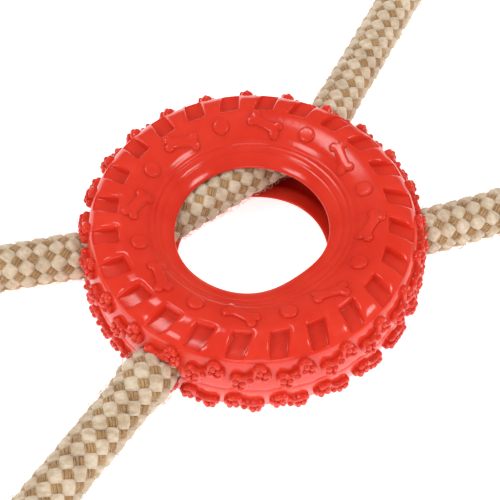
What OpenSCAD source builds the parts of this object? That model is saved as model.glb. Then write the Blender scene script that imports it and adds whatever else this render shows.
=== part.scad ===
// Hollow rubber tyre toy with two thick plaited ropes drawn through its tread.
// Millimetres, +Z up. The origin is on the tyre's axis, on the face that it lies on.

/* [Tyre] */
// Diameter over the tread, without its raised bones
tyre_d = 142; // [110:1:180]
// Width from sidewall to sidewall
tyre_w = 45; // [38:1:60]
// Diameter of the open centre, inside the lips
lip_d = 64.8; // [54:0.2:72]
// Thickness of the rubber
wall = 4.2; // [3:0.1:6]
// Thickness of each lip at its edge
lip_t = 1.6; // [1:0.1:2]
// Radial width of each rounded shoulder
shoulder_w = 12; // [8:0.5:16]
// Width of the flat land round the crest of each sidewall
crest_land = 1.6; // [1:0.1:2.5]
// Height of the raised bead ring on each sidewall
bead_h = 0.9; // [0.4:0.1:2]

/* [Relief] */
// Pockets round each shoulder, and bones round each row of the tread
lug_count = 24; // [16:1:30]
// Width of a shoulder pocket
pocket_w = 7.6; // [5:0.1:9]
// Depth of a shoulder pocket at its inner end
pocket_depth = 3.6; // [2:0.1:4]
// Turn of each pocket from a true radius
pocket_skew = 17; // [0:1:30]
// Length of a tread bone
tread_bone_l = 16.5; // [12:0.5:20]
// Width over the lobes of a tread bone
tread_bone_w = 9.6; // [7:0.1:11]
// Height of a tread bone above the tread
tread_bone_h = 2.5; // [1:0.1:4]
// Bones, and as many dots, round each sidewall
motif_count = 8; // [4:1:8]
// Length of a sidewall bone
side_bone_l = 16; // [10:0.5:18]
// Width over the lobes of a sidewall bone
side_bone_w = 9; // [6:0.1:10]
// Diameter of a sidewall dot
dot_d = 7.2; // [4:0.1:9]
// Height of the sidewall bones and dots, whose tops are level with the crest
motif_h = 1.2; // [0.6:0.1:2]

/* [Ropes] */
// Diameter of both ropes
rope_d = 20; // [14:0.5:21]
// Clearance all round a rope in its hole
hole_clear = 1; // [0.8:0.1:2]
// Length of the left tail, from the tread to its knot
left_tail_l = 46; // [40:1:80]
// Length of the back tail
back_tail_l = 100; // [60:1:130]
// Length of the front tail
front_tail_l = 85; // [60:1:120]
// Length of the right tail
right_tail_l = 54; // [40:1:80]
// Diameter of the end knots
knot_d = 45; // [36:1:50]
// Length of the frayed end behind each knot
fray_l = 13; // [8:1:25]
// Diameter of each frayed end at its open side
fray_d = 28; // [22:1:34]

/* [Hidden] */

$fn = 120;
rubber_red = [0.86, 0.13, 0.08];
rope_cream = [0.86, 0.78, 0.66];
over = 20;              // how far a cutter runs past what it cuts

tyre_r = tyre_d / 2;
lip_r = lip_d / 2;
rope_r = rope_d / 2;
half_w = tyre_w / 2;
mid_z = half_w;         // height of the mid-plane and of both ropes
lip_z = rope_r + 0.4;   // underside of a lip, measured from the mid-plane
edge_r = tyre_r - 2;    // where the shoulder meets the tread
edge_z = half_w - 8.5;
crest_r = edge_r - shoulder_w - 0.6;
bead_r = lip_r + 9.5;   // middle of the bead ring
bead_z = half_w - 5.3;
groove = 0.8;           // depth of the groove inside the bead ring
motif_r = lip_r + 16.2; // circle that the sidewall bones and dots sit on
pocket_turn = 12.6;     // places of the patterns round the tyre
upper_bone_turn = 0.4;
lower_bone_turn = -1.4;
side_bone_turn = 40.4;
dot_turn = 17.9;
tread_bone_lean = 30;   // slopes of the bones from the tyre's circle
side_bone_lean = 24;
tread_bone_z = edge_z - 4; // middle of a row of tread bones, from the mid-plane
lobe_share = 0.31;      // radius of a bone's lobes and width of its shank, by its width
shank_share = 0.5;
relief_root = 5;        // how far the sidewall relief is drawn down into the rubber

// Where each tail crosses the tread, its heading, and the heading of its hole
left_exit = [[-73, -8], 193.25, 197];
back_exit = [[37.3, 79.6], 65, 50];
front_exit = [[-49, -78.5], 236.7, 230];
right_exit = [[75.6, 9.1], 20, 32];
straight_l = wall + 4;  // each rope runs straight for this far inside the tread
bend_gap = 0.4;         // between a rope inside the tyre and its swinging tail

// Middle lines of the two ropes inside the tyre, from exit to exit
route_a = [
    [-55.5, -1.3], [-46.8, 4.1], [-38, 10.2], [-27, 18.7], [-16, 27.5],
    [-5.3, 36], [5.5, 44.3], [14, 50.5]
];
route_b = [
    [-25.5, -48.9], [-16.5, -44.2], [-6.5, -40.6], [4.5, -37.6], [14.5, -34],
    [24, -28.9], [32.5, -22.8], [41, -16], [49.5, -8.9], [57, -2.6]
];
tube_sides = 12;

// ---- Helpers -------------------------------------------------------------

function ray(a) = [cos(a), sin(a)];

// Point where the line of a tail crosses the tread
function exit_point(exit) =
    let (p = exit[0], u = ray(exit[1]), along = p * u)
    p + u * (sqrt(along * along - p * p + tyre_r * tyre_r) - along);

// Point inside the tread where a rope's straight stretch starts
function exit_start(exit) = exit_point(exit) - straight_l * ray(exit[2]);

// Centre of the swing of a tail
function pivot(exit) =
    exit_point(exit) + (rope_r + bend_gap) / cos(exit[1] - exit[2]) * ray(exit[1]);

function heading(points, i) =
    let (a = points[max(i - 1, 0)], b = points[min(i + 1, len(points) - 1)])
    atan2(b[1] - a[1], b[0] - a[0]);

// A tube swept along level points, with its own radius at each of them
module tube(points, radii) {
    last = len(points) - 1;
    rings = [
        for (i = [0:last], s = [0:tube_sides - 1])
        let (h = heading(points, i), a = 360 * s / tube_sides, r = radii[i])
        [
            points[i][0] - r * cos(a) * sin(h),
            points[i][1] + r * cos(a) * cos(h),
            mid_z + r * sin(a)
        ]
    ];
    sides = [
        for (i = [0:last - 1], s = [0:tube_sides - 1])
        let (t = (s + 1) % tube_sides, a = i * tube_sides, b = a + tube_sides)
        each [[a + s, a + t, b + t], [a + s, b + t, b + s]]
    ];
    near_end = [for (s = [tube_sides - 1:-1:0]) s];
    far_end = [for (s = [0:tube_sides - 1]) last * tube_sides + s];
    polyhedron(rings, concat([near_end], sides, [far_end]));
}

// Puts its children at a distance along a tail, with their Z axis along it
module along_tail(exit, distance) {
    p = exit_point(exit) + distance * ray(exit[1]);
    translate([p[0], p[1], mid_z]) rotate([0, 90, exit[1]]) children();
}

module at_middle() {
    translate([0, 0, mid_z]) children();
}

// Puts its children on the upper side, or mirrored on the lower side where flip is 1
module on_side(flip) {
    at_middle() mirror([0, 0, flip]) children();
}

module rope_holes() {
    for (exit = [left_exit, back_exit, front_exit, right_exit]) {
        p = exit_point(exit) - over * ray(exit[2]);
        translate([p[0], p[1], mid_z]) rotate([0, 90, exit[2]])
            cylinder(r = rope_r + hole_clear, h = 2 * over);
    }
}

// ---- Tyre ----------------------------------------------------------------
// One moulding, in three parts that meet face to face at the shoulders

// Outer outline of the tread, from its middle to the shoulder
function tread_line() = [[tyre_r, 0], [tyre_r - 0.5, half_w / 3], [edge_r, edge_z]];

// Outer outline of a sidewall, from the shoulder to the edge of the lip
function sidewall_line() = concat(
    [[edge_r, edge_z]],
    [
        for (a = [20:17.5:90])
        [crest_r + shoulder_w * cos(a), edge_z + (half_w - edge_z) * sin(a)]
    ],
    [
        [crest_r - crest_land, half_w],
        [crest_r - 4, half_w - motif_h / 3],
        [motif_r, half_w - motif_h],
        [motif_r - 3.5, half_w - motif_h - 1],
        [bead_r + 1.6, bead_z + 1.3],
        [bead_r + 0.5, bead_z + bead_h - 0.4],
        [bead_r - 0.5, bead_z + bead_h - 0.4],
        [bead_r - 1.6, bead_z - groove],
        [bead_r - 3, bead_z - groove - 0.3],
        [lip_r + 5.3, lip_z + 3.6],
        [lip_r + 1.2, lip_z + lip_t + 0.1],
        [lip_r, lip_z + lip_t * 0.6]
    ]
);

// Inner outline of a sidewall, from the lip back to the shoulder
function sidewall_inner_line() = [
    [lip_r + 0.3, lip_z],
    [bead_r - 3, lip_z],
    [bead_r + 1, bead_z - wall + 0.2],
    [motif_r - 2, half_w - motif_h - wall - 0.6],
    [crest_r - 2, half_w - wall],
    [edge_r - wall - 3, half_w - wall - 1],
    [edge_r - wall, edge_z]
];

module tyre_tread() {
    line = tread_line();
    lower_line = [for (i = [len(line) - 1:-1:1]) [line[i][0], -line[i][1]]];
    inner_line = [[edge_r - wall, edge_z], [tyre_r - wall, 0], [edge_r - wall, -edge_z]];
    color(rubber_red)
    difference() {
        at_middle() rotate_extrude() polygon(concat(lower_line, line, inner_line));
        rope_holes();
    }
}

// Flat-floored cut across the shoulder, open at its outer end
module pocket() {
    inner_r = crest_r - 0.3;
    run = edge_r - inner_r + over;
    translate([inner_r, 0, half_w - pocket_depth])
        rotate([0, 3, -pocket_skew])
            translate([0, -pocket_w / 2, 0]) cube([run, pocket_w, over]);
}

module sidewall(flip) {
    color(rubber_red)
    on_side(flip) difference() {
        rotate_extrude() polygon(concat(sidewall_line(), sidewall_inner_line()));
        for (k = [0:lug_count - 1])
            rotate(pocket_turn + 360 * k / lug_count) pocket();
    }
}

// ---- Relief on the tyre --------------------------------------------------

// Outline of a bone along X: two pairs of lobes joined by a shank
module bone_shape(length, width) {
    lobe_r = width * lobe_share;
    x = length / 2 - lobe_r;
    y = width / 2 - lobe_r;
    for (sx = [-1, 1], sy = [-1, 1])
        translate([sx * x, sy * y]) circle(r = lobe_r, $fn = 24);
    square([2 * x, width * shank_share], center = true);
}

// A skin of one thickness that stands on the tread and the start of the shoulder
module tread_skin(height) {
    line = concat(tread_line(), [sidewall_line()[1]]);
    outer = [for (i = [len(line) - 1:-1:0]) line[i] + [height, 0]];
    rotate_extrude() polygon(concat(line, outer));
}

module tread_bones(flip, first_turn) {
    color(rubber_red)
    difference() {
        on_side(flip) intersection() {
            tread_skin(tread_bone_h);
            for (k = [0:lug_count - 1])
                rotate(first_turn + 360 * k / lug_count)
                    translate([tyre_r - over, 0, tread_bone_z])
                        rotate([90, 0, 90]) rotate(tread_bone_lean)
                            linear_extrude(2 * over) bone_shape(tread_bone_l, tread_bone_w);
        }
        rope_holes();
    }
}

// Stands flat outlines on one sidewall, up to the height of the crest
module sidewall_relief(flip) {
    color(rubber_red)
    on_side(flip) difference() {
        translate([0, 0, half_w - motif_h - relief_root])
            linear_extrude(motif_h + relief_root) children();
        sidewall_body();
    }
}

// Everything under a sidewall's surface, between the bead ring and the crest
module sidewall_body() {
    line = [for (p = sidewall_line()) if (p[0] <= crest_r && p[0] >= bead_r) p];
    rotate_extrude() polygon(concat([[crest_r, 0]], line, [[line[len(line) - 1][0], 0]]));
}

module sidewall_bones(flip) {
    sidewall_relief(flip)
        for (k = [0:motif_count - 1])
            rotate(side_bone_turn + 360 * k / motif_count) translate([motif_r, 0])
                rotate(90 - side_bone_lean) bone_shape(side_bone_l, side_bone_w);
}

module sidewall_dots(flip) {
    sidewall_relief(flip)
        for (k = [0:motif_count - 1])
            rotate(dot_turn + 360 * k / motif_count) translate([motif_r, 0]) circle(d = dot_d);
}

// ---- Ropes ---------------------------------------------------------------

module inner_rope(start, route, end) {
    points = concat(
        [exit_point(start), exit_start(start)], route, [exit_start(end), exit_point(end)]
    );
    color(rope_cream) tube(points, [for (p = points) rope_r]);
}

module rope_tail(exit, length) {
    first = (pivot(exit) - exit_point(exit)) * ray(exit[1]);
    round_steps = [20, 40, 65];
    middle = (first + length) / 2;
    distances = concat([for (a = round_steps) first - rope_r * cos(a)], [first, middle, length]);
    radii = concat([for (a = round_steps) rope_r * sin(a)], [rope_r, rope_r, rope_r]);
    color(rope_cream)
        tube([for (d = distances) exit_point(exit) + d * ray(exit[1])], radii);
}

// Ball of the knot, cut flat where the rope enters and leaves it
knot_l = 2 * sqrt(knot_d * knot_d / 4 - rope_r * rope_r);

module knot(exit, length) {
    color(rope_cream)
    along_tail(exit, length) intersection() {
        translate([0, 0, knot_l / 2]) sphere(d = knot_d);
        cylinder(r = knot_d, h = knot_l);
    }
}

module frayed_end(exit, length) {
    color(rope_cream)
    along_tail(exit, length + knot_l) cylinder(r1 = rope_r, r2 = fray_d / 2, h = fray_l);
}

tyre_tread();
sidewall(0);  // upper_sidewall
sidewall(1);  // lower_sidewall
tread_bones(0, upper_bone_turn);  // tread_bones_upper
tread_bones(1, lower_bone_turn);  // tread_bones_lower
sidewall_bones(0);  // sidewall_bones_upper
sidewall_bones(1);  // sidewall_bones_lower
sidewall_dots(0);  // sidewall_dots_upper
sidewall_dots(1);  // sidewall_dots_lower
inner_rope(left_exit, route_a, back_exit);  // rope_a_inner
inner_rope(front_exit, route_b, right_exit);  // rope_b_inner
rope_tail(left_exit, left_tail_l);  // left_rope_tail
knot(left_exit, left_tail_l);  // left_knot
frayed_end(left_exit, left_tail_l);  // left_frayed_end
rope_tail(back_exit, back_tail_l);  // back_rope_tail
knot(back_exit, back_tail_l);  // back_knot
frayed_end(back_exit, back_tail_l);  // back_frayed_end
rope_tail(front_exit, front_tail_l);  // front_rope_tail
knot(front_exit, front_tail_l);  // front_knot
frayed_end(front_exit, front_tail_l);  // front_frayed_end
rope_tail(right_exit, right_tail_l);  // right_rope_tail
knot(right_exit, right_tail_l);  // right_knot
frayed_end(right_exit, right_tail_l);  // right_frayed_end
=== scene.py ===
"""Tyre and rope tug toy: a hollow red rubber tyre with two plaited ropes through its tread."""

import math

import bpy
import numpy as np
from mathutils import Matrix, Vector


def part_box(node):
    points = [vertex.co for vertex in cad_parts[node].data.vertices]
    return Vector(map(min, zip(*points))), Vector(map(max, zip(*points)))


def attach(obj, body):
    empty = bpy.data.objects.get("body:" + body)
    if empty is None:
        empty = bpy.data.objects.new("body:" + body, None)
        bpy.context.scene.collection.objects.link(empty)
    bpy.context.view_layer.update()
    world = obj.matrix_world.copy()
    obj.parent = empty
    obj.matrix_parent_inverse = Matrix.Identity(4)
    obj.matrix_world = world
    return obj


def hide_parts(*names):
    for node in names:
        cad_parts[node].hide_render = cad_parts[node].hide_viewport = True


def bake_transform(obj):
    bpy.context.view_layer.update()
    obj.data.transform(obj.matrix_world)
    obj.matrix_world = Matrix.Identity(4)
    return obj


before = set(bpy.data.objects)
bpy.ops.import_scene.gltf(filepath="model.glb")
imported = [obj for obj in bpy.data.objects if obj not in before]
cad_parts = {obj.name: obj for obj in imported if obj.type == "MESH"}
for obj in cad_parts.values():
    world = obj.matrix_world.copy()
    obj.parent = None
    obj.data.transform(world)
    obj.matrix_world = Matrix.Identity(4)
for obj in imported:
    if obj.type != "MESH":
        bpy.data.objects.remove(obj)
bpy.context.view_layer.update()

MM = 0.001

# ---- Sizes, taken from the frame or named here, in metres ------------------

tyre_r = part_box("tyre_tread")[1][0]
half_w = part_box("upper_sidewall")[1][2] / 2
mid_z = half_w
lug_count = 24
motif_count = 8

bone_height = 2.5 * MM
bone_length = 16.5 * MM
bone_width = 9.6 * MM
bone_lean = math.radians(30)
bone_rise = 10 * MM
bone_turns = {"upper": math.radians(0.4), "lower": math.radians(-1.4)}
nub_r = 1.35 * MM

motif_r = 48.6 * MM
side_bone_length = 15.6 * MM
side_bone_width = 7.8 * MM
side_height = 1.35 * MM
side_bone_lean = math.radians(24)
side_bone_turn = math.radians(40.4)
dot_r = 3.6 * MM
dot_turn = math.radians(17.9)

pocket_turn = math.radians(12.6)
pocket_inner_r = 56.4 * MM
pocket_outer_r = 67 * MM
pocket_skew = math.radians(3.0)
pocket_skew_r = 52 * MM
pocket_depth = 3.6 * MM
pocket_fall = 1.3 * MM
pocket_dish = 0.5 * MM
pocket_least = 0.15 * MM
pocket_margin = 0.3 * MM
pocket_round = 0.22 * MM
pocket_width_in = 1.07
pocket_narrowing = 0.24

rope_r = 10 * MM
hole_r = 10.2 * MM
strands_each_way = 8
lay_length = 54.6 * MM
lay_r = 8.2 * MM
plait_step = 0.62 * MM
plait_seed = 11
fibre_r = 0.06 * MM
rope_fibres = 1500
knot_rope_r = 7.2 * MM
knot_step = 1.05 * MM
knot_squeeze = 0.76
knot_press = 0.93
knot_rest_z = knot_rope_r + 1.1 * MM
knot_fibres = 900
knot_fibre_seed = 7
fray_r = 14 * MM
fray_yarns = 230
fray_fibres = 260


# ---- Small tools -----------------------------------------------------------

def deselect_all():
    bpy.ops.object.select_all(action="DESELECT")


def make_active(obj):
    deselect_all()
    obj.select_set(True)
    bpy.context.view_layer.objects.active = obj


def edit(obj):
    make_active(obj)
    bpy.ops.object.mode_set(mode="EDIT")
    bpy.ops.mesh.select_all(action="DESELECT")
    bpy.ops.object.mode_set(mode="OBJECT")


def select_faces(obj, wanted):
    """Selects the faces whose centre passes the test, and enters edit mode."""
    edit(obj)
    for face in obj.data.polygons:
        face.select = wanted(face.center)
    bpy.ops.object.mode_set(mode="EDIT")
    bpy.ops.mesh.select_mode(type="FACE")


def leave_edit():
    bpy.ops.object.mode_set(mode="OBJECT")


def finish_mesh(obj, levels=0, smooth_angle=50):
    """Subdivides, shades and settles a modelled piece at the origin."""
    make_active(obj)
    if levels:
        modifier = obj.modifiers.new("Subdivision", "SUBSURF")
        modifier.levels = levels
        modifier.render_levels = levels
        bpy.ops.object.modifier_apply(modifier=modifier.name)
    bpy.ops.object.transform_apply(location=True, rotation=True, scale=True)
    if smooth_angle:
        bpy.ops.object.shade_smooth_by_angle(angle=math.radians(smooth_angle))
    else:
        bpy.ops.object.shade_smooth()
    return obj


def join(pieces, name):
    deselect_all()
    for piece in pieces:
        piece.select_set(True)
    bpy.context.view_layer.objects.active = pieces[0]
    if len(pieces) > 1:
        bpy.ops.object.join()
    pieces[0].name = name
    pieces[0].data.name = name
    return pieces[0]


def move_points(obj, rule):
    for vertex in obj.data.vertices:
        vertex.co = rule(vertex.co)


def paint(obj, material):
    obj.data.materials.clear()
    obj.data.materials.append(material)


# ---- Materials -------------------------------------------------------------

def new_material(name):
    material = bpy.data.materials.new(name)
    material.use_nodes = True
    tree = material.node_tree
    shader = tree.nodes["Principled BSDF"]
    return material, tree, shader


def add_node(tree, kind, **settings):
    node = tree.nodes.new(kind)
    for key, value in settings.items():
        if key in node.inputs:
            node.inputs[key].default_value = value
        else:
            setattr(node, key, value)
    return node


def ramp(tree, stops):
    node = tree.nodes.new("ShaderNodeValToRGB")
    while len(node.color_ramp.elements) < len(stops):
        node.color_ramp.elements.new(0.5)
    for element, (position, colour) in zip(node.color_ramp.elements, stops):
        element.position = position
        element.color = (*colour, 1)
    return node


def rubber_material():
    """Glossy red moulded rubber, with a faint mottle and a slightly uneven gloss."""
    material, tree, shader = new_material("red_rubber")
    place = tree.nodes.new("ShaderNodeTexCoord")
    mottle = add_node(tree, "ShaderNodeTexNoise", Scale=55.0, Detail=3.0, Roughness=0.55)
    tree.links.new(place.outputs["Object"], mottle.inputs["Vector"])
    colour = ramp(tree, [(0.3, (0.70, 0.030, 0.013)), (0.7, (0.78, 0.044, 0.020))])
    tree.links.new(mottle.outputs["Fac"], colour.inputs["Fac"])
    tree.links.new(colour.outputs["Color"], shader.inputs["Base Color"])
    gloss = add_node(tree, "ShaderNodeMapRange")
    gloss.inputs["To Min"].default_value = 0.1
    gloss.inputs["To Max"].default_value = 0.2
    tree.links.new(mottle.outputs["Fac"], gloss.inputs["Value"])
    tree.links.new(gloss.outputs["Result"], shader.inputs["Roughness"])
    fine = add_node(tree, "ShaderNodeTexNoise", Scale=420.0, Detail=4.0, Roughness=0.6)
    tree.links.new(place.outputs["Object"], fine.inputs["Vector"])
    bump = add_node(tree, "ShaderNodeBump", Strength=0.06, Distance=0.0004)
    tree.links.new(fine.outputs["Fac"], bump.inputs["Height"])
    tree.links.new(bump.outputs["Normal"], shader.inputs["Normal"])
    shader.inputs["IOR"].default_value = 1.5
    shader.inputs["Subsurface Weight"].default_value = 0.3
    shader.inputs["Subsurface Radius"].default_value = (1.0, 0.12, 0.06)
    shader.inputs["Subsurface Scale"].default_value = 0.005
    return material


def yarn_material(name, light, dark, fibre_scale, twist, roughness):
    """Spun fibre: streaks along the yarn, on the piece's own UV map (across, along in mm)."""
    material, tree, shader = new_material(name)
    place = tree.nodes.new("ShaderNodeTexCoord")
    stretch = add_node(tree, "ShaderNodeMapping")
    stretch.inputs["Scale"].default_value = (fibre_scale, 0.35, 1)
    stretch.inputs["Rotation"].default_value = (0, 0, twist)
    tree.links.new(place.outputs["UV"], stretch.inputs["Vector"])
    streak = add_node(tree, "ShaderNodeTexNoise", Scale=1.0, Detail=5.0, Roughness=0.65)
    tree.links.new(stretch.outputs["Vector"], streak.inputs["Vector"])
    patch = add_node(tree, "ShaderNodeTexNoise", Scale=90.0, Detail=2.0)
    tree.links.new(place.outputs["Object"], patch.inputs["Vector"])
    mix = add_node(tree, "ShaderNodeMath", operation="MULTIPLY_ADD")
    tree.links.new(patch.outputs["Fac"], mix.inputs[0])
    mix.inputs[1].default_value = 0.45
    tree.links.new(streak.outputs["Fac"], mix.inputs[2])
    colour = ramp(tree, [(0.52, dark), (0.86, light)])
    tree.links.new(mix.outputs["Value"], colour.inputs["Fac"])
    tree.links.new(colour.outputs["Color"], shader.inputs["Base Color"])
    bump = add_node(tree, "ShaderNodeBump", Strength=0.55, Distance=0.0005)
    tree.links.new(streak.outputs["Fac"], bump.inputs["Height"])
    tree.links.new(bump.outputs["Normal"], shader.inputs["Normal"])
    shader.inputs["Roughness"].default_value = roughness
    shader.inputs["Specular IOR Level"].default_value = 0.25
    shader.inputs["Sheen Weight"].default_value = 0.35
    shader.inputs["Sheen Roughness"].default_value = 0.5
    shader.inputs["Subsurface Weight"].default_value = 0.1
    shader.inputs["Subsurface Radius"].default_value = (1.0, 0.8, 0.6)
    shader.inputs["Subsurface Scale"].default_value = 0.001
    return material


def floor_material():
    """White and a little lit from below, as a light table is, so its shadows stay weak."""
    material, _, shader = new_material("pale_floor")
    shader.inputs["Base Color"].default_value = (0.8, 0.8, 0.8, 1)
    shader.inputs["Roughness"].default_value = 0.7
    shader.inputs["Emission Color"].default_value = (1, 1, 1, 1)
    shader.inputs["Emission Strength"].default_value = 0.8
    return material


rubber = rubber_material()
cotton = yarn_material(
    "cream_cotton", (0.74, 0.62, 0.465), (0.50, 0.36, 0.225), 9.0, math.radians(8), 0.9)
jute = yarn_material(
    "tan_jute", (0.56, 0.34, 0.15), (0.28, 0.15, 0.055), 5.0, math.radians(28), 0.85)


# ---- Camera ----------------------------------------------------------------

def make_camera():
    """Looks down on the tyre from in front of it, a little rolled and off its centre."""
    elevation = math.radians(56.10)
    roll = -0.0254
    distance = 0.6141
    off_right, off_up = -0.00108, -0.00251
    ahead = Vector((0, math.cos(elevation), -math.sin(elevation)))
    level_right = Vector((1, 0, 0))
    level_up = Vector((0, math.sin(elevation), math.cos(elevation)))
    right = math.cos(roll) * level_right - math.sin(roll) * level_up
    up = math.sin(roll) * level_right + math.cos(roll) * level_up
    centre = Vector((0, 0, mid_z))
    place = centre - distance * ahead + off_right * right + off_up * up
    turn = Matrix((right, up, -ahead)).transposed().to_4x4()
    data = bpy.data.cameras.new("camera")
    data.lens = 103.5
    data.sensor_width = 36
    camera = bpy.data.objects.new("camera", data)
    camera.matrix_world = Matrix.Translation(place) @ turn
    bpy.context.scene.collection.objects.link(camera)
    bpy.context.scene.camera = camera


make_camera()
bpy.context.scene.view_settings.view_transform = "Standard"


# ---- Ropes: the routes of their middle lines -------------------------------

# each tail: where its line points from (mm), its heading and its bore's (degrees), its length (mm)
exits = {
    "left": ((-73, -8), 193.25, 197, 46),
    "back": ((37.3, 79.6), 65, 50, 100),
    "front": ((-49, -78.5), 236.7, 230, 85),
    "right": ((75.6, 9.1), 20, 32, 54),
}
# the ropes inside the tyre, seen from above, in mm
route_a = [
    (-55.5, -1.3), (-46.8, 4.1), (-38, 10.2), (-27, 18.7), (-16, 27.5),
    (-5.3, 36), (5.5, 44.3), (14, 50.5),
]
route_b = [
    (-25.5, -48.9), (-16.5, -44.2), (-6.5, -40.6), (4.5, -37.6), (14.5, -34),
    (24, -28.9), (32.5, -22.8), (41, -16), (49.5, -8.9), (57, -2.6),
]
straight_inside = 8.2 * MM

# how full each tail is against the rope pulled tight, and how far it swells by its hole
slack_of = {
    "left": (1.03, 0.03), "back": (1.0, 0.03), "front": (1.07, 0.13), "right": (1.03, 0.03),
}


def ray(degrees):
    return Vector((math.cos(math.radians(degrees)), math.sin(math.radians(degrees)), 0))


def exit_point(side):
    """Where the line of a tail crosses the tread."""
    (x, y), heading = exits[side][:2]
    point = Vector((x, y, 0)) * MM
    along = point.dot(ray(heading))
    reach = math.sqrt(along * along - point.length_squared + tyre_r * tyre_r) - along
    return point + reach * ray(heading) + Vector((0, 0, mid_z))


def tail_point(side, distance):
    return exit_point(side) + distance * ray(exits[side][1])


def rope_points(start, route, end):
    """The whole middle line of a rope, from the knot of one tail to the knot of the other."""
    points = []
    for side in (start, end):
        length = exits[side][3] * MM
        tail = [tail_point(side, length * step) for step in (1, 0.8, 0.6, 0.42, 0.26)]
        inside = exit_point(side) - straight_inside * ray(exits[side][2])
        tail += [exit_point(side), inside]
        points.append(tail)
    middle = [Vector((x * MM, y * MM, mid_z)) for x, y in route]
    return points[0] + middle + points[1][::-1]


def smooth_line(points, step):
    """Catmull-Rom curve through the points, as places at even steps along it."""
    line = np.array([tuple(p) for p in points])
    line = np.vstack([2 * line[0] - line[1], line, 2 * line[-1] - line[-2]])
    fine = []
    for a, b, c, d in zip(line, line[1:], line[2:], line[3:]):
        for t in np.linspace(0, 1, 24, endpoint=False):
            fine.append(0.5 * (2 * b + (c - a) * t + (2 * a - 5 * b + 4 * c - d) * t * t
                               + (3 * b - a - 3 * c + d) * t ** 3))
    fine.append(line[-2])
    fine = np.array(fine)
    along = np.concatenate([[0], np.cumsum(np.linalg.norm(np.diff(fine, axis=0), axis=1))])
    count = max(2, int(round(along[-1] / step)) + 1)
    places = np.linspace(0, along[-1], count)
    return np.stack([np.interp(places, along, fine[:, k]) for k in range(3)], 1), places


def frames_along(line, from_end=False):
    """Tangent, side and top at each place, upright at one end and turned only as the bends need."""
    tangent = np.gradient(line, axis=0)
    tangent /= np.linalg.norm(tangent, axis=1)[:, None]
    top = np.zeros_like(tangent)
    order = range(len(line) - 1, -1, -1) if from_end else range(len(line))
    carried = np.array([0, 0, 1.0])
    for i in order:
        carried = carried - tangent[i] * (carried @ tangent[i])
        carried /= np.linalg.norm(carried)
        top[i] = carried
    side = np.cross(top, tangent)
    return tangent, side, top


# ---- Ropes: the plait ------------------------------------------------------

class Plait:
    """Gathers the tubes of a rope's strands, to become one mesh."""

    def __init__(self):
        self.points, self.faces, self.uvs, self.kinds = [], [], [], []
        self.count = 0

    def tube(self, centres, widths, heights, across, out, along, kind, sides,
             shift=0.0, square=1.0):
        """A closed tube of flattened round section, with its width across and its height out."""
        rings = len(centres)
        turn = np.linspace(0, 2 * math.pi, sides, endpoint=False)
        wide = np.sign(np.cos(turn)) * np.abs(np.cos(turn)) ** square
        high = np.sign(np.sin(turn)) * np.abs(np.sin(turn)) ** square
        section = (
            across[:, None, :] * (wide[None, :, None] * widths[:, None, None])
            + out[:, None, :] * (high[None, :, None] * heights[:, None, None])
        )
        points = (centres[:, None, :] + section).reshape(-1, 3)
        base = self.count
        for i in range(rings - 1):
            low, high = base + i * sides, base + (i + 1) * sides
            v0, v1 = along[i] / MM + shift, along[i + 1] / MM + shift
            for s in range(sides):
                t = (s + 1) % sides
                self.faces.append((low + s, low + t, high + t, high + s))
                u0, u1 = s / sides, (s + 1) / sides
                self.uvs += [(u0, v0), (u1, v0), (u1, v1), (u0, v1)]
        for ring, order in ((0, range(sides - 1, -1, -1)), (rings - 1, range(sides))):
            self.faces.append(tuple(base + ring * sides + s for s in order))
            self.uvs += [(s / sides, along[ring] / MM + shift) for s in order]
        faces = (rings - 1) * sides + 2
        self.kinds += [kind] * faces
        self.points.append(points)
        self.count += len(points)

    def mesh(self, name, materials):
        data = bpy.data.meshes.new(name)
        data.from_pydata(np.concatenate(self.points).tolist(), [], self.faces)
        for material in materials:
            data.materials.append(material)
        data.polygons.foreach_set("material_index", self.kinds)
        layer = data.uv_layers.new(name="yarn")
        layer.data.foreach_set("uv", np.array(self.uvs, np.float32).ravel())
        data.polygons.foreach_set("use_smooth", [True] * len(data.polygons))
        data.update()
        obj = bpy.data.objects.new(name, data)
        bpy.context.scene.collection.objects.link(obj)
        return obj


COTTON, JUTE = 0, 1


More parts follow.
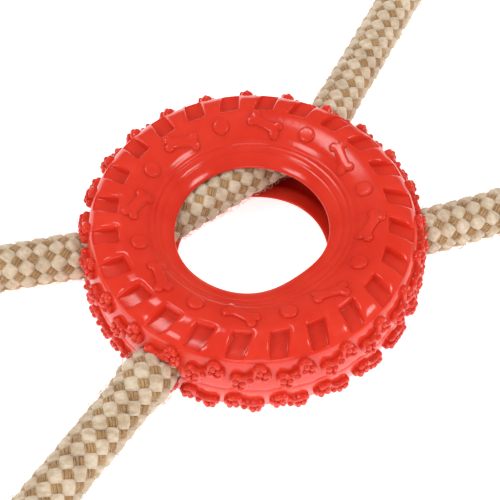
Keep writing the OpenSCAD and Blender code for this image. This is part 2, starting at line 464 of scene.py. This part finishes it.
def lay_strands(plait, line, places, radius, seed, from_end=False):
    """Plaits sixteen strands round a line, each over one and under one.

    Cotton turns one way and jute the other.
    """
    tangent, side, top = frames_along(line, from_end)
    scale = np.broadcast_to(np.asarray(radius) / rope_r, places.shape)
    random = np.random.default_rng(seed)
    pace = 2 * math.pi / lay_length * places
    lean = math.atan2(2 * math.pi * lay_r, lay_length)
    for k in range(strands_each_way):
        start = 2 * math.pi * k / strands_each_way
        over = np.cos(strands_each_way * pace)
        # cotton: one thick soft strand, which turns with the rope
        angle = start + pace
        wave = np.tanh(2.6 * (over + 0.08)) / math.tanh(2.8)
        out = np.cos(angle)[:, None] * side + np.sin(angle)[:, None] * top
        around = -np.sin(angle)[:, None] * side + np.cos(angle)[:, None] * top
        across = around * math.cos(lean) - tangent * math.sin(lean)
        slack = random.uniform(0, 6.3, 2)
        sway = 0.22 * MM * np.sin(places / (7 * MM) + slack[0])
        swell = 1 + 0.05 * np.sin(places / (4.3 * MM) + slack[1])
        centres = line + out * ((7.4 + 0.78 * wave) * MM * scale)[:, None] + across * sway[:, None]
        width = (2.52 + 0.34 * wave) * MM * scale * swell
        height = (1.5 + 0.12 * wave) * MM * scale * swell
        plait.tube(centres, width, height, across, out, places, COTTON, 12,
                   random.uniform(0, 90), square=0.62)
        # jute: four thin yarns side by side, turning against it
        angle = start - pace
        out = np.cos(angle)[:, None] * side + np.sin(angle)[:, None] * top
        around = -np.sin(angle)[:, None] * side + np.cos(angle)[:, None] * top
        across = around * math.cos(lean) + tangent * math.sin(lean)
        lift = (7.45 - 1.1 * np.tanh(2 * over)) * MM * scale
        for lane in (-1.5, -0.5, 0.5, 1.5):
            wobble = 0.1 * MM * np.sin(places / (3.1 * MM) + random.uniform(0, 6.3))
            sink = 0.12 * lane * lane * MM * scale
            centres = line + out * (lift - sink)[:, None]
            centres = centres + across * (lane * 1.16 * MM * scale + wobble)[:, None]
            thick = random.uniform(0.6, 0.7) * MM * scale
            plait.tube(centres, thick, thick, across, out, places, JUTE, 6, random.uniform(0, 90))


def add_core(plait, line, places, radius):
    _, side, top = frames_along(line)
    step = max(1, len(line) // 60)
    keep = list(range(0, len(line) - 1, step)) + [len(line) - 1]
    thick = np.broadcast_to(0.6 * np.asarray(radius), places.shape)[keep]
    plait.tube(line[keep], thick, thick, side[keep], top[keep], places[keep], COTTON, 12)


def add_fibres(plait, line, places, radius, count, seed):
    """Loose fibres that stand out of the plait."""
    tangent, side, top = frames_along(line)
    radius = np.broadcast_to(np.asarray(radius), places.shape)
    random = np.random.default_rng(seed)
    for _ in range(count):
        i = random.integers(2, len(line) - 2)
        angle = random.uniform(0, 2 * math.pi)
        out = math.cos(angle) * side[i] + math.sin(angle) * top[i]
        around = -math.sin(angle) * side[i] + math.cos(angle) * top[i]
        drift = random.normal(0, 1, 2)
        sweep = tangent[i] * drift[0] + around * drift[1]
        sweep /= np.linalg.norm(sweep)
        length = random.uniform(1.5, 5) * MM
        stand = random.uniform(0.2, 0.9) * MM
        t = np.linspace(0, 1, 5)[:, None]
        root = line[i] + out * (radius[i] - 0.9 * MM)
        centres = root + sweep * length * t + out * (0.9 * MM + stand) * np.sin(t * 2.2)
        thick = np.full(5, fibre_r)
        across = np.tile(np.cross(sweep, out), (5, 1))
        upright = np.tile(out, (5, 1))
        plait.tube(centres, thick, thick, across, upright, t[:, 0] * length, COTTON, 3)


def even_points(points, count):
    along = np.concatenate([[0], np.cumsum(np.linalg.norm(np.diff(points, axis=0), axis=1))])
    places = np.linspace(0, along[-1], count)
    return np.stack([np.interp(places, along, points[:, k]) for k in range(3)], 1), along[-1]


def tied_line(gap, count=84, pulls=1500):
    """The middle line of an overhand knot, drawn tight: strands press on each other at the gap.

    It starts as a loose three-lobed loop with its ends led away along X, and its length is
    drawn out a little at a time while touching strands push each other apart.
    """
    t = np.linspace(-math.pi + 0.62, math.pi - 0.62, 90)
    loop = np.stack([np.sin(t) + 2 * np.sin(2 * t), np.cos(t) - 2 * np.cos(2 * t),
                     -1.15 * np.sin(3 * t)], 1)
    way = np.sign(loop[0, 0])
    lead = np.array([[3.87 * way, -4, 0], [2.2 * way, -3.7, 0], [1.5 * way, -2.8, 0]])
    line, total = even_points(
        np.concatenate([lead, loop, (lead * [-1, 1, 1])[::-1]]) * 0.75 * gap, count)
    rest = total / (count - 1)
    ends = line[0, 0], line[-1, 0]
    for _ in range(pulls):
        i, j = np.triu_indices(count, int(math.ceil(1.7 * gap / rest)))
        line[1:-1] += 0.3 * ((line[:-2] + line[2:]) / 2 - line[1:-1])
        for _ in range(2):
            for first in (0, 1):
                a, b = slice(first, count - 1, 2), slice(first + 1, count, 2)
                apart = line[b] - line[a]
                length = np.linalg.norm(apart, axis=1)
                mend = apart * ((length - rest) / length / 2)[:, None]
                line[a] += mend
                line[b] -= mend
            apart = line[j] - line[i]
            length = np.linalg.norm(apart, axis=1)
            near = length < gap
            push = apart[near] * ((gap - length[near]) / length[near] * 0.3)[:, None]
            np.add.at(line, i[near], -push)
            np.add.at(line, j[near], push)
            for lead in (slice(0, 5), slice(-5, None)):
                line[lead, 1:] = line[lead, 1:].mean(axis=0)
            line[0, 0], line[-1, 0] = ends
        if np.linalg.norm(np.diff(line, axis=0), axis=1).mean() < 1.02 * rest:
            rest *= 0.9985
    return settle_knot(line)


def settle_knot(line):
    """Turns a knot so that it runs out along +X from the origin, with its widest side down."""
    axis = line[-1] - line[0]
    axis /= np.linalg.norm(axis)
    line = line - line[0]
    along = line @ axis
    beside = line - along[:, None] * axis
    width = np.linalg.norm(beside, axis=1)
    down = beside[width.argmax()] / width.max()
    across = np.cross(axis, down)
    line = np.stack([along * knot_squeeze, beside @ across, -beside @ down], 1)
    bent = np.nonzero(width > 1.2 * MM)[0]
    line = line[max(bent[0] - 1, 0):bent[-1] + 2]
    line[:, 0] -= line[0, 0]
    line[0, 1:] = line[-1, 1:] = 0
    return line


def make_knot(side, shape, rope_places, outward):
    """The plaited knot on a tail, which takes up the strands where the tail ends."""
    length = exits[side][3] * MM
    along = np.array(ray(exits[side][1]))
    beside = np.cross([0, 0, 1.0], along)
    start = np.array(tail_point(side, length))
    line = start + shape[:, :1] * along + shape[:, 1:2] * beside + shape[:, 2:] * [0, 0, 1.0]
    line, places = smooth_line([Vector(p) for p in line], knot_step)
    line[:, 2] = np.maximum(line[:, 2], knot_rest_z)  # flat where it rests
    total = places[-1]
    radius = np.interp(places, [0, 9 * MM, total - 5 * MM, total],
                       [rope_r, knot_rope_r, knot_rope_r, 0.92 * knot_rope_r])
    plait = Plait()
    if outward:
        places = places + rope_places[-1]
        lay_strands(plait, line, places, radius, plait_seed)
    else:
        line, radius, places = line[::-1], radius[::-1], rope_places[0] + places - total
        lay_strands(plait, line, places, radius, plait_seed, from_end=True)
    add_core(plait, line, places, radius)
    add_fibres(plait, line, places, radius, knot_fibres, knot_fibre_seed)
    knot = plait.mesh(side + "_tied_knot", [cotton, jute])
    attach(knot, side + "_tail")
    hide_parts(side + "_knot")
    return knot, float(shape[-1, 0])


def make_fray(side, knot_length, seed):
    """The loose yarns behind a knot, spread like a brush."""
    random = np.random.default_rng(seed)
    along = np.array(ray(exits[side][1]))
    beside = np.cross([0, 0, 1.0], along)
    start = np.array(tail_point(side, exits[side][3] * MM + knot_length)) - 3 * MM * along
    plait = Plait()
    t = np.linspace(0, 1, 9)[:, None]
    for yarn in range(fray_yarns):
        kind = JUTE if yarn % 3 == 0 else COTTON
        angle = random.uniform(0, 2 * math.pi)
        depth = math.sqrt(random.uniform(0.02, 1))
        out = math.cos(angle) * beside + math.sin(angle) * np.array([0, 0, 1.0])
        around = np.cross(along, out)
        length = random.uniform(11, 15) * MM
        spread = (fray_r - 0.9 * knot_rope_r) * random.uniform(0.7, 1.05)
        curl = random.uniform(-1.6, 1.6) * MM
        bow = random.uniform(-1, 1) * MM
        centres = (start + along * length * t
                   + out * depth * (0.85 * knot_rope_r + spread * t ** 1.4)
                   + around * curl * np.sin(t * 2.6) + out * bow * np.sin(t * 4.5) * t)
        thick = (0.62 if kind == COTTON else 0.5) * MM
        thick = thick * np.interp(t[:, 0], [0, 0.8, 1], [1, 1, 0.45])
        plait.tube(centres, thick, thick, np.tile(around, (9, 1)), np.tile(out, (9, 1)),
                   t[:, 0] * length, kind, 6, random.uniform(0, 90))
    for _ in range(fray_fibres):
        angle = random.uniform(0, 2 * math.pi)
        out = math.cos(angle) * beside + math.sin(angle) * np.array([0, 0, 1.0])
        around = np.cross(along, out)
        lean = random.normal(0, 0.35, 2)
        aim = along + out * (0.45 + lean[0]) + around * lean[1]
        root = start + out * random.uniform(2, 6) * MM + along * random.uniform(3, 9) * MM
        length = random.uniform(4, 9) * MM
        centres = root + aim * length * t[::2] + out * random.uniform(-1, 1) * MM * t[::2] ** 2
        thick = np.full(5, 1.3 * fibre_r)
        plait.tube(centres, thick, thick, np.tile(around, (5, 1)), np.tile(out, (5, 1)),
                   t[::2, 0] * length, COTTON, 3)
    fray = plait.mesh(side + "_loose_yarns", [cotton, jute])
    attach(fray, side + "_tail")
    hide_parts(side + "_frayed_end")
    return fray


def rope_radius(side, line):
    """The rope is a little fatter than it measures pulled tight, most where it leaves its hole."""
    full, swell = slack_of[side]
    out = (line - np.array(exit_point(side))) @ np.array(ray(exits[side][1])) / MM
    bulge = swell * np.exp(-((out - 8) / 7) ** 2)
    return rope_r * (1 + (full - 1) * np.clip(out / 8, 0, 1) + bulge)


def make_rope(name, start, route, end, seam, knot_shape):
    """Makes the two halves of a rope, which meet out of sight at the seam, with their knots."""
    line, places = smooth_line(rope_points(start, route, end), plait_step)
    seam = np.array([seam[0] * MM, seam[1] * MM, mid_z])
    middle = int(np.argmin(np.linalg.norm(line - seam, axis=1)))
    for side, part in ((start, slice(0, middle + 1)), (end, slice(middle, None))):
        outward = side == end
        plait = Plait()
        radius = rope_radius(side, line[part])
        lay_strands(plait, line[part], places[part], radius, plait_seed)
        add_core(plait, line[part], places[part], radius)
        add_fibres(plait, line[part], places[part], radius, rope_fibres, len(side))
        rope = plait.mesh(side + "_rope", [cotton, jute])
        path = line[part] if outward else line[part][::-1]
        path = [tuple(p) for p in path[:-1:12]] + [tuple(path[-1])]
        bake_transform(rope)
        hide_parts(name, side + "_rope_tail")
        knot, knot_length = make_knot(side, knot_shape, places[part], outward)
        fray = make_fray(side, knot_length, len(side) + 40)


knot_shape = tied_line(2 * knot_rope_r * knot_press)
make_rope("rope_a_inner", "left", route_a, "back", route_a[6], knot_shape)
make_rope("rope_b_inner", "front", route_b, "right", route_b[4], knot_shape)


# ---- Tyre ------------------------------------------------------------------

# outline of the section's upper half: distance from the axis and height over the middle, in mm
tread_outline = [
    (70.55, 0), (70.6, 0.35), (71, 0.7), (70.95, 3), (70.7, 6), (70.2, 9), (69.6, 11.6), (69, 14),
]
crest_r, shoulder_z = 56.4, 14
shoulder_outline = [
    (crest_r + 12.6 * math.cos(a), shoulder_z + 8.5 * math.sin(a))
    for a in [math.radians(d) for d in (11, 21, 31, 42, 53, 64, 74, 82, 90)]
]
bead_outline = [
    (54.8, 22.45), (52.2, 22.05), (49.5, 21.5), (46.6, 20.7), (44.6, 19.8), (43.4, 18.7),
    (42.7, 18.0), (42.2, 17.85), (41.6, 17.7), (41.2, 17.3), (40.9, 16.65), (40.5, 16.4),
    (40.0, 16.45), (39.0, 15.95), (38.2, 15.35), (37.85, 14.9), (37.6, 14.75), (37.2, 14.7),
    (36.2, 14.3), (34.8, 13.5), (33.6, 12.6), (32.8, 11.9), (32.4, 11.2), (32.5, 10.7),
]
inner_outline = [
    (33.2, 10.4), (36, 10.4), (39.5, 10.6), (43, 13.2), (47, 16.6), (54, 18.2), (61.5, 17.4),
    (65, 13.5), (66.6, 7), (66.8, 0),
]


def tyre_section():
    upper = tread_outline + shoulder_outline + bead_outline + inner_outline
    lower = [(r, -z) for r, z in reversed(upper[1:-1])]
    return [Vector((r * MM, 0, mid_z + z * MM)) for r, z in upper + lower]


def polar(point):
    return math.hypot(point.x, point.y), math.atan2(point.y, point.x), point.z - mid_z


def from_polar(r, angle, z):
    return Vector((r * math.cos(angle), r * math.sin(angle), z + mid_z))


def make_tyre():
    points = tyre_section()
    deselect_all()
    bpy.ops.mesh.primitive_circle_add(vertices=len(points), radius=0.07)
    tyre = bpy.context.active_object
    for vertex, point in zip(tyre.data.vertices, points):
        vertex.co = point
    sector = 2 * math.pi / lug_count
    edit(tyre)
    bpy.ops.object.mode_set(mode="EDIT")
    bpy.ops.mesh.select_all(action="SELECT")
    bpy.ops.mesh.spin(steps=8, angle=-sector, center=(0, 0, 0), axis=(0, 0, 1))
    bpy.ops.mesh.select_all(action="SELECT")
    bpy.ops.mesh.normals_make_consistent(inside=False)
    leave_edit()
    angles = [polar(v.co)[1] for v in tyre.data.vertices]
    centre = (min(angles) + max(angles)) / 2

    def pocket_faces(point):
        r, angle, z = polar(point)
        wide = abs(angle - centre) < sector / 4
        return wide and pocket_inner_r < r < pocket_outer_r and abs(z) > 17 * MM and outside(r, z)

    def outside(r, z):
        return abs(z) > half_w - 8 * MM and (r > 64 * MM or abs(z) > half_w - 3.4 * MM)

    select_faces(tyre, pocket_faces)
    bpy.ops.mesh.inset(thickness=pocket_margin, depth=0, use_even_offset=True)
    leave_edit()
    floor_in, floor_out = half_w - pocket_depth, half_w - pocket_depth - pocket_fall
    sunk = {i for face in tyre.data.polygons if face.select for i in face.vertices}
    for i in sunk:
        r, angle, z = polar(tyre.data.vertices[i].co)
        share = (r - pocket_inner_r) / (pocket_outer_r - pocket_inner_r)
        level = floor_in + (floor_out - floor_in) * share
        level -= pocket_dish * math.sin(math.pi * share)
        level = min(level, abs(z) - pocket_least)
        tyre.data.vertices[i].co = from_polar(r, angle, math.copysign(level, z))
    # rim and foot of each pocket, rounded
    make_active(tyre)
    bpy.ops.object.mode_set(mode="EDIT")
    bpy.ops.mesh.select_mode(type="FACE")
    bpy.ops.mesh.region_to_loop()
    bpy.ops.mesh.bevel(offset=pocket_round, segments=2, affect="EDGES")
    leave_edit()

    def shape_lug(point):
        """Narrows the pocket towards the tread and slants it across the shoulder."""
        r, angle, z = polar(point)
        reach = min(1, max(0, (r - pocket_inner_r) / (pocket_outer_r - pocket_inner_r)))
        edge = sector / 4
        grow = pocket_width_in - pocket_narrowing * reach
        offset = angle - centre
        if abs(offset) < edge:
            offset *= grow
        else:
            beyond = (abs(offset) - edge) / (sector / 2 - edge)
            offset = math.copysign(edge * grow + beyond * (sector / 2 - edge * grow), offset)
        outward = max(0, (r - pocket_skew_r) / (pocket_outer_r - pocket_skew_r))
        slant = pocket_skew * min(1, outward ** 1.2)
        return from_polar(r, pocket_turn - slant + offset, z)

    move_points(tyre, shape_lug)
    edit(tyre)
    bpy.ops.object.mode_set(mode="EDIT")
    bpy.ops.mesh.select_all(action="SELECT")
    bpy.ops.mesh.spin(steps=lug_count - 1, dupli=True, angle=2 * math.pi - sector,
                      center=(0, 0, 0), axis=(0, 0, 1))
    bpy.ops.mesh.select_all(action="SELECT")
    bpy.ops.mesh.remove_doubles(threshold=0.02 * MM)
    bpy.ops.mesh.normals_make_consistent(inside=False)
    leave_edit()
    finish_mesh(tyre, levels=1, smooth_angle=40)
    move_points(tyre, pushed_lip)
    tyre.name = "rubber_tyre"
    return tyre


def pushed_lip(point):
    """The soft lips, pushed out of round by the ropes inside."""
    r, angle, z = polar(point)
    soft = min(1, max(0, (50 * MM - r) / (16 * MM)))
    soft = soft * soft * (3 - 2 * soft)

    def near(degrees, spread):
        off = (math.degrees(angle) - degrees + 180) % 360 - 180
        return math.exp(-(off / spread) ** 2)

    if z > 0:
        shift = -2.6 * near(-50, 32) + 0.9 * near(-150, 30)
        lift = 0.8 * near(-50, 32)
    else:
        shift, lift = 2.1 * near(45, 38), 0
    return from_polar(r + shift * soft * MM, angle, z + lift * soft * MM)


def rope_hole_cutters():
    cutters = []
    for side, (_, _, bore, _) in exits.items():
        deselect_all()
        bpy.ops.mesh.primitive_cylinder_add(vertices=64, radius=hole_r, depth=40 * MM)
        cutter = bpy.context.active_object
        aim = ray(bore).to_track_quat("Z", "Y").to_matrix().to_4x4()
        cutter.data.transform(Matrix.Translation(exit_point(side)) @ aim)
        cutters.append(cutter)
    return join(cutters, "hole_cutters")


def cut_holes(piece, cutters):
    make_active(piece)
    modifier = piece.modifiers.new("Holes", "BOOLEAN")
    modifier.operation = "DIFFERENCE"
    modifier.solver = "EXACT"
    modifier.object = cutters
    bpy.ops.object.modifier_apply(modifier=modifier.name)


# ---- Bones and dots --------------------------------------------------------

def bone_outline(length, width, lobe_share, shank_share, first_angle, steps=10):
    """Points round a bone: two lobes at each end, and a shank a little thinner in its middle."""
    lobe = width * lobe_share
    cx, cy = length / 2 - lobe, width / 2 - lobe
    notch = cx + 0.8 * lobe * math.cos(math.radians(first_angle))
    corner = []
    for k in range(steps):
        a = math.radians(first_angle + (165 - first_angle) * k / (steps - 1))
        corner.append((cx + lobe * math.cos(a), cy + lobe * math.sin(a)))
    first = [(notch, 0)] + corner
    first += [(cx * 0.36, width * (shank_share + 0.02)), (0, width * shank_share)]
    upper = first + [(-x, y) for x, y in reversed(first[:-1])]
    lower = [(x, -y) for x, y in reversed(upper[1:-1])]
    return upper + lower


def raised_shape(outline, height, name, sink=1.2 * MM):
    """A shape raised from its outline, with a well rounded upper edge; the surface is at z = 0."""
    deselect_all()
    bpy.ops.mesh.primitive_circle_add(vertices=len(outline), radius=0.01, fill_type="NGON")
    piece = bpy.context.active_object
    for vertex, (x, y) in zip(piece.data.vertices, outline):
        vertex.co = (x, y, -sink)
    edit(piece)
    bpy.ops.object.mode_set(mode="EDIT")
    bpy.ops.mesh.select_all(action="SELECT")
    bpy.ops.mesh.extrude_region_move(TRANSFORM_OT_translate={"value": (0, 0, sink + height * 0.4)})
    for rise, draw_in in ((0.3, 0.16), (0.2, 0.36), (0.08, 0.5), (0.02, 0.6)):
        bpy.ops.mesh.inset(thickness=draw_in * MM)
        bpy.ops.transform.translate(value=(0, 0, height * rise))
    bpy.ops.mesh.quads_convert_to_tris()
    bpy.ops.mesh.select_all(action="SELECT")
    bpy.ops.mesh.normals_make_consistent(inside=False)
    leave_edit()
    piece.name = name
    return piece


def copy_of(piece):
    twin = piece.copy()
    twin.data = piece.data.copy()
    bpy.context.scene.collection.objects.link(twin)
    return twin


def nub(x, y, height):
    deselect_all()
    bpy.ops.mesh.primitive_uv_sphere_add(segments=8, ring_count=6, radius=nub_r,
                                         location=(x, y, height))
    ball = bpy.context.active_object
    bpy.ops.object.transform_apply(location=True)
    return ball


def skin_point(up, height):
    """Radius and height of a point up the tread from the bones' middle line, and off its skin."""
    line = np.array(tread_outline + shoulder_outline) * MM
    along = np.concatenate([[0], np.cumsum(np.linalg.norm(np.diff(line, axis=0), axis=1))])
    middle = float(np.interp(bone_rise, line[:, 1], along))
    at = middle + up
    place, before, after = (
        np.array([np.interp(at + d, along, line[:, k]) for k in (0, 1)]) for d in (0, -MM, MM))
    slope = (after - before) / np.linalg.norm(after - before)
    return place + height * np.array([slope[1], -slope[0]])


def sidewall_z_at(r):
    outline = list(reversed(shoulder_outline[5:] + bead_outline[:6]))
    return float(np.interp(r, [p[0] * MM for p in outline], [p[1] * MM for p in outline]))


def bore_distance(point):
    """How far a point is from the nearest rope hole's middle line."""
    nearest = 1.0
    for side, (_, _, bore, _) in exits.items():
        offset = point - exit_point(side)
        if offset.dot(ray(bore)) > -30 * MM:
            nearest = min(nearest, offset.cross(ray(bore)).length)
    return nearest


def tread_nubs():
    """Where the small nubs stand on a tread bone."""
    reach, spread = bone_length / 2 - 2.9 * MM, bone_width / 2 - 2.7 * MM
    gap, tip = 3.6 * MM, reach + 1.2 * MM
    spots = [(sx * reach, sy * spread) for sx in (-1, 1) for sy in (-1, 1)]
    return spots + [(-gap, 0), (0, 0), (gap, 0), (tip, 0), (-tip, 0)]


def wrap_bones(first_turn, flip, cutters, name):
    outline = bone_outline(bone_length, bone_width, 0.31, 0.2, -30)
    body = raised_shape(outline, bone_height, "bone")
    dot_on_bone = nub(0, 0, 0)
    pieces = []
    for k in range(lug_count):
        turn = first_turn + 2 * math.pi * k / lug_count

        def seat(point):
            across = point.x * math.cos(bone_lean) - point.y * math.sin(bone_lean)
            up = point.x * math.sin(bone_lean) + point.y * math.cos(bone_lean)
            r, rise = skin_point(up, point.z)
            return from_polar(r, turn + across / tyre_r, -rise if flip else rise)

        bone = copy_of(body)
        move_points(bone, seat)
        pieces.append(bone)
        if min(bore_distance(v.co) for v in bone.data.vertices) < hole_r + MM:
            if flip:
                turn_inside_out(bone)
            cut_holes(bone, cutters)
            if flip:
                turn_inside_out(bone)
        for x, y in tread_nubs():
            place = Vector((x, y, bone_height))
            if bore_distance(seat(place)) < hole_r + nub_r:
                continue
            knob = copy_of(dot_on_bone)
            move_points(knob, lambda p: seat(place + p))
            pieces.append(knob)
    bpy.data.objects.remove(body)
    bpy.data.objects.remove(dot_on_bone)
    band = join(pieces, name)
    if flip:
        turn_inside_out(band)
    return finish_mesh(band, smooth_angle=60)


def turn_inside_out(piece):
    edit(piece)
    bpy.ops.object.mode_set(mode="EDIT")
    bpy.ops.mesh.select_all(action="SELECT")
    bpy.ops.mesh.flip_normals()
    leave_edit()


def seat_on_sidewall(pattern, turns, lean, flip, name):
    pieces = []
    for turn in turns:
        piece = copy_of(pattern)

        def seat(point):
            out = motif_r + point.x * math.cos(lean) - point.y * math.sin(lean)
            sideways = point.x * math.sin(lean) + point.y * math.cos(lean)
            r = math.hypot(out, sideways)
            z = sidewall_z_at(r) + point.z
            return from_polar(r, turn + math.atan2(sideways, out), -min(z, half_w) if flip else z)

        move_points(piece, seat)
        pieces.append(piece)
    band = join(pieces, name)
    if flip:
        turn_inside_out(band)
    return finish_mesh(band, smooth_angle=60)


def turns_from(first):
    return [first + 2 * math.pi * k / motif_count for k in range(motif_count)]


def round_outline(radius, count=24):
    return [(radius * math.cos(a), radius * math.sin(a))
            for a in [2 * math.pi * k / count for k in range(count)]]


cutters = rope_hole_cutters()
tyre = make_tyre()
cut_holes(tyre, cutters)
paint(tyre, rubber)
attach(tyre, "tyre")
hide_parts("tyre_tread", "upper_sidewall", "lower_sidewall")

side_outline = bone_outline(side_bone_length, side_bone_width, 0.27, 0.27, -62)
side_bone = raised_shape(side_outline, side_height, "side_bone")
dot = raised_shape(round_outline(dot_r), side_height, "dot")
for flip, where in ((False, "upper"), (True, "lower")):
    relief = {
        "tread_bones_" + where: wrap_bones(
            bone_turns[where], flip, cutters, "moulded_tread_bones_" + where),
        "sidewall_bones_" + where: seat_on_sidewall(
            side_bone, turns_from(side_bone_turn), math.pi / 2 - side_bone_lean, flip,
            "moulded_sidewall_bones_" + where),
        "sidewall_dots_" + where: seat_on_sidewall(
            dot, turns_from(dot_turn), 0, flip, "moulded_sidewall_dots_" + where),
    }
    for node, piece in relief.items():
        paint(piece, rubber)
        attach(piece, "tyre")
        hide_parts(node)
for spare in (side_bone, dot, cutters):
    bpy.data.objects.remove(spare)


# ---- Floor and light -------------------------------------------------------

floor_size = 14
floor_z = -0.0002
world_light = 0.8
world_in_gloss = 0.12

# each softbox: place and size in metres, power in watts
softboxes = {
    "high": ((-0.22, 0.36, 1.0), (0.3, 0.18), 1.1),
    "right": ((0.85, -0.2, 0.76), (0.3, 0.26), 2.0),
    "left": ((-0.56, -0.41, 0.70), (0.3, 0.24), 1.5),
    "front": ((0.1, -1.1, 0.35), (0.7, 0.3), 1.1),
}


def make_floor():
    deselect_all()
    bpy.ops.mesh.primitive_plane_add(size=floor_size, location=(0, 0, floor_z))
    floor = bpy.context.active_object
    bpy.ops.object.transform_apply(location=True)
    floor.name = "floor"
    floor.data.materials.append(floor_material())


def softbox(name, place, size, power):
    """A square-cornered lamp that faces the middle of the floor."""
    data = bpy.data.lights.new(name, "AREA")
    data.shape = "RECTANGLE"
    data.size, data.size_y = size
    data.energy = power
    light = bpy.data.objects.new(name, data)
    light.location = place
    light.rotation_mode = "QUATERNION"
    light.rotation_quaternion = (-Vector(place)).to_track_quat("-Z", "Y")
    bpy.context.scene.collection.objects.link(light)


def make_lights():
    world = bpy.data.worlds.new("studio")
    world.use_nodes = True
    tree = world.node_tree
    sky = tree.nodes["Background"]
    sky.inputs["Color"].default_value = (1, 1, 1, 1)
    path = tree.nodes.new("ShaderNodeLightPath")
    strength = add_node(tree, "ShaderNodeMapRange")
    strength.inputs["To Min"].default_value = world_light
    strength.inputs["To Max"].default_value = world_in_gloss
    tree.links.new(path.outputs["Is Glossy Ray"], strength.inputs["Value"])
    tree.links.new(strength.outputs["Result"], sky.inputs["Strength"])
    bpy.context.scene.world = world
    for side, (place, size, power) in softboxes.items():
        softbox(side + "_softbox", place, size, power)


make_floor()
make_lights()
